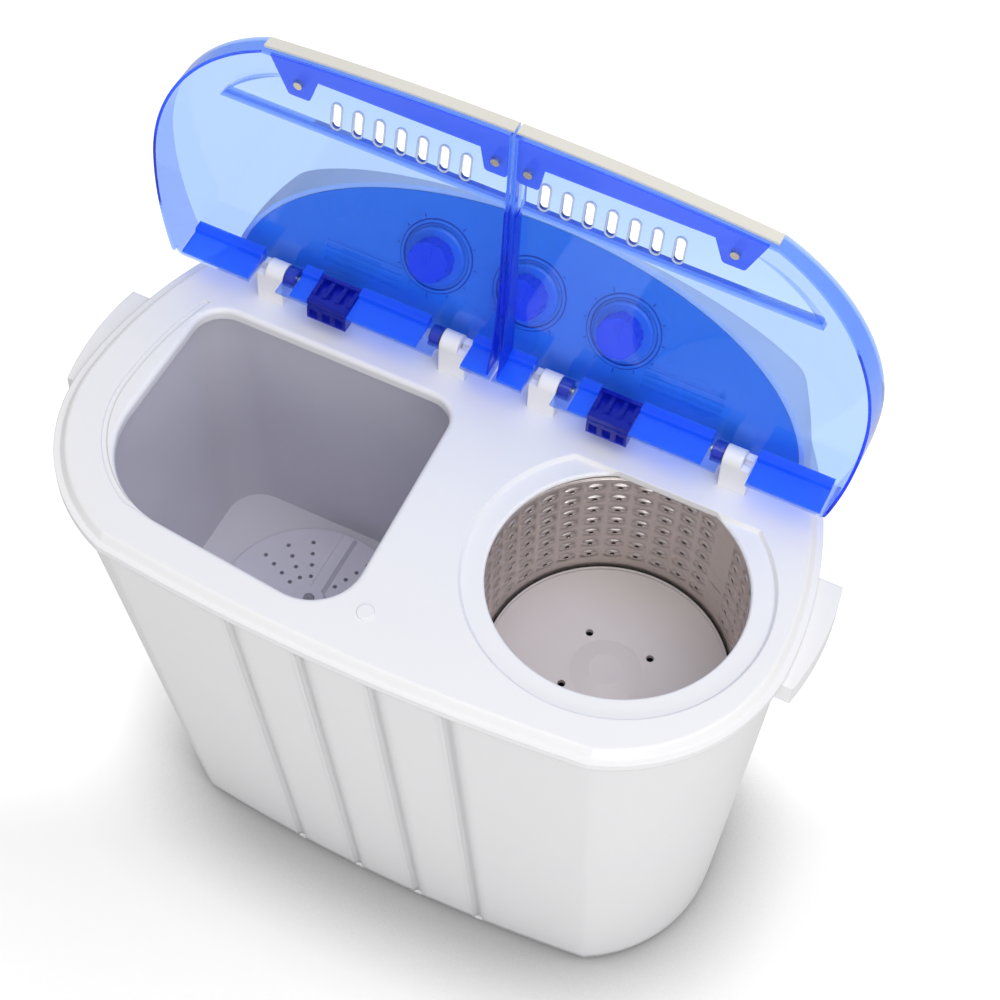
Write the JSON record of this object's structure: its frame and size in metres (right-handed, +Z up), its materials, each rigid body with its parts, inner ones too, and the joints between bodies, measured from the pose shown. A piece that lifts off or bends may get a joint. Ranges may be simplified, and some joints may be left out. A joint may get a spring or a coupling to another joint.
{
  "type": "twin tub washing machine",
  "caption": "Compact washing machine with a wash tub and pulsator, a spin basket, hinged lids and a sloping knob panel.",
  "frame": {"origin": "middle of the machine's plan at floor level", "axes": "+X to the user's right, +Y to the back, +Z up, with the lids standing open"},
  "size_m": [0.59, 0.3399, 0.7658],
  "materials": {
    "white_shell": "glossy moulded polypropylene",
    "blue_lid": "translucent tinted polypropylene",
    "blue_panel": "smooth moulded plastic",
    "blue_knob": "smooth moulded plastic",
    "dark_blue_grip": "smooth moulded plastic",
    "grey_tub": "satin moulded polypropylene",
    "pale_plastic": "satin moulded polypropylene",
    "dark_base": "satin moulded plastic",
    "basket_steel": "thin stainless sheet",
    "steel": "plain zinc plated or turned steel",
    "lid_screw_metal": "yellow zinc plated pan head screw",
    "black_rubber": "moulded rubber",
    "motor_enamel": "grey enamel on pressed steel",
    "cast_aluminium": "die cast aluminium",
    "grey_pipe": "moulded drain pipe"
  },
  "bodies": {
    "cabinet": {"casing": "white_shell", "base_tray": "white_shell", "foot_front_left": "black_rubber", "foot_front_right": "black_rubber", "foot_rear_left": "black_rubber", "foot_rear_right": "black_rubber", "deck": "white_shell", "deck_plug": "white_shell", "hinge_pins": "steel", "side_handle_left": "white_shell", "side_handle_right": "white_shell", "wash_tub": "grey_tub", "spin_drum": "grey_tub", "panel_housing": "white_shell", "control_panel": "blue_panel", "wash_timer": "dark_base", "drain_switch": "dark_base", "spin_timer": "dark_base", "rear_cover": "white_shell", "rear_cover_screws": "steel", "cord_gland": "black_rubber", "wash_bearing": "cast_aluminium", "wash_shaft_seal": "black_rubber", "drive_belt": "black_rubber", "wash_motor_bracket": "motor_enamel", "wash_motor": "motor_enamel", "spin_motor_mounts": "black_rubber", "spin_motor": "motor_enamel", "brake_bracket": "steel", "spin_shaft_seal": "black_rubber", "drain_valve": "grey_pipe", "wash_drain_pipe": "grey_pipe", "spin_drain_pipe": "grey_pipe", "drain_outlet": "grey_pipe", "dual_capacitor": "dark_base"},
    "wash_lid": {"wash_lid": "blue_lid", "wash_lid_grip_plate": "dark_blue_grip", "wash_lid_screws": "lid_screw_metal", "wash_lid_grip_strip": "white_shell", "wash_lid_finger": "dark_blue_grip"},
    "spin_lid": {"spin_lid": "blue_lid", "spin_lid_grip_plate": "dark_blue_grip", "spin_lid_screws": "lid_screw_metal", "spin_lid_grip_strip": "white_shell", "spin_lid_finger": "dark_blue_grip"},
    "pulsator": {"pulsator": "pale_plastic", "pulsator_screw": "steel", "pulsator_shaft": "steel", "wash_pulley": "dark_base"},
    "motor_pulley": {"motor_pulley": "cast_aluminium"},
    "spin_basket": {"spin_basket": "basket_steel", "basket_base": "pale_plastic", "spin_shaft": "steel", "brake_drum": "steel"},
    "brake_lever": {"brake_lever": "dark_base"},
    "drain_pull_rod": {"drain_pull_rod": "pale_plastic"},
    "wash_timer_knob": {"wash_timer_knob": "blue_knob"},
    "drain_knob": {"drain_knob": "blue_knob"},
    "spin_timer_knob": {"spin_timer_knob": "blue_knob"}
  },
  "joints": [
    {"name": "wash_lid_hinge", "type": "hinge", "parent": "cabinet", "child": "wash_lid", "pos_m": [-0.1125, 0.097, 0.525], "axis": [1, 0, 0], "range_deg": [0, 95.5]},
    {"name": "spin_lid_hinge", "type": "hinge", "parent": "cabinet", "child": "spin_lid", "pos_m": [0.1125, 0.097, 0.525], "axis": [1, 0, 0], "range_deg": [0, 95.5]},
    {"name": "pulsator_spin", "type": "hinge", "parent": "cabinet", "child": "pulsator", "pos_m": [-0.113, -0.004, 0.25], "axis": [0, 0, 1], "continuous": true},
    {"name": "motor_pulley_spin", "type": "hinge", "parent": "cabinet", "child": "motor_pulley", "pos_m": [-0.18371, 0.08027, 0.2], "axis": [0, 0, 1], "continuous": true},
    {"name": "spin_basket_spin", "type": "hinge", "parent": "cabinet", "child": "spin_basket", "pos_m": [0.1487, -0.0192, 0.37], "axis": [0, 0, 1], "continuous": true},
    {"name": "brake_lever_turn", "type": "hinge", "parent": "cabinet", "child": "brake_lever", "pos_m": [0.1007, 0.0148, 0.185], "axis": [0, 0, 1], "range_deg": [0, 8.1]},
    {"name": "drain_rod_lift", "type": "slide", "parent": "cabinet", "child": "drain_pull_rod", "axis": [0, 0, 1], "range_m": [0, 0.008]},
    {"name": "wash_timer_turn", "type": "hinge", "parent": "cabinet", "child": "wash_timer_knob", "pos_m": [-0.0757, 0.14108, 0.55768], "axis": [0, 0.8746, -0.4848], "range_deg": [0, 300]},
    {"name": "drain_knob_turn", "type": "hinge", "parent": "cabinet", "child": "drain_knob", "pos_m": [0, 0.14108, 0.55768], "axis": [0, 0.8746, -0.4848], "range_deg": [0, 90]},
    {"name": "spin_timer_turn", "type": "hinge", "parent": "cabinet", "child": "spin_timer_knob", "pos_m": [0.0757, 0.14108, 0.55768], "axis": [0, 0.8746, -0.4848], "range_deg": [0, 300]}
  ],
  "couplings": [
    {"joint": "motor_pulley_spin", "follows": "pulsator_spin", "ratio": 4.0556},
    {"joint": "brake_lever_turn", "follows": "spin_lid_hinge", "ratio": 0.0837},
    {"joint": "drain_rod_lift", "follows": "drain_knob_turn", "m_per_rad": 0.00509}
  ]
}
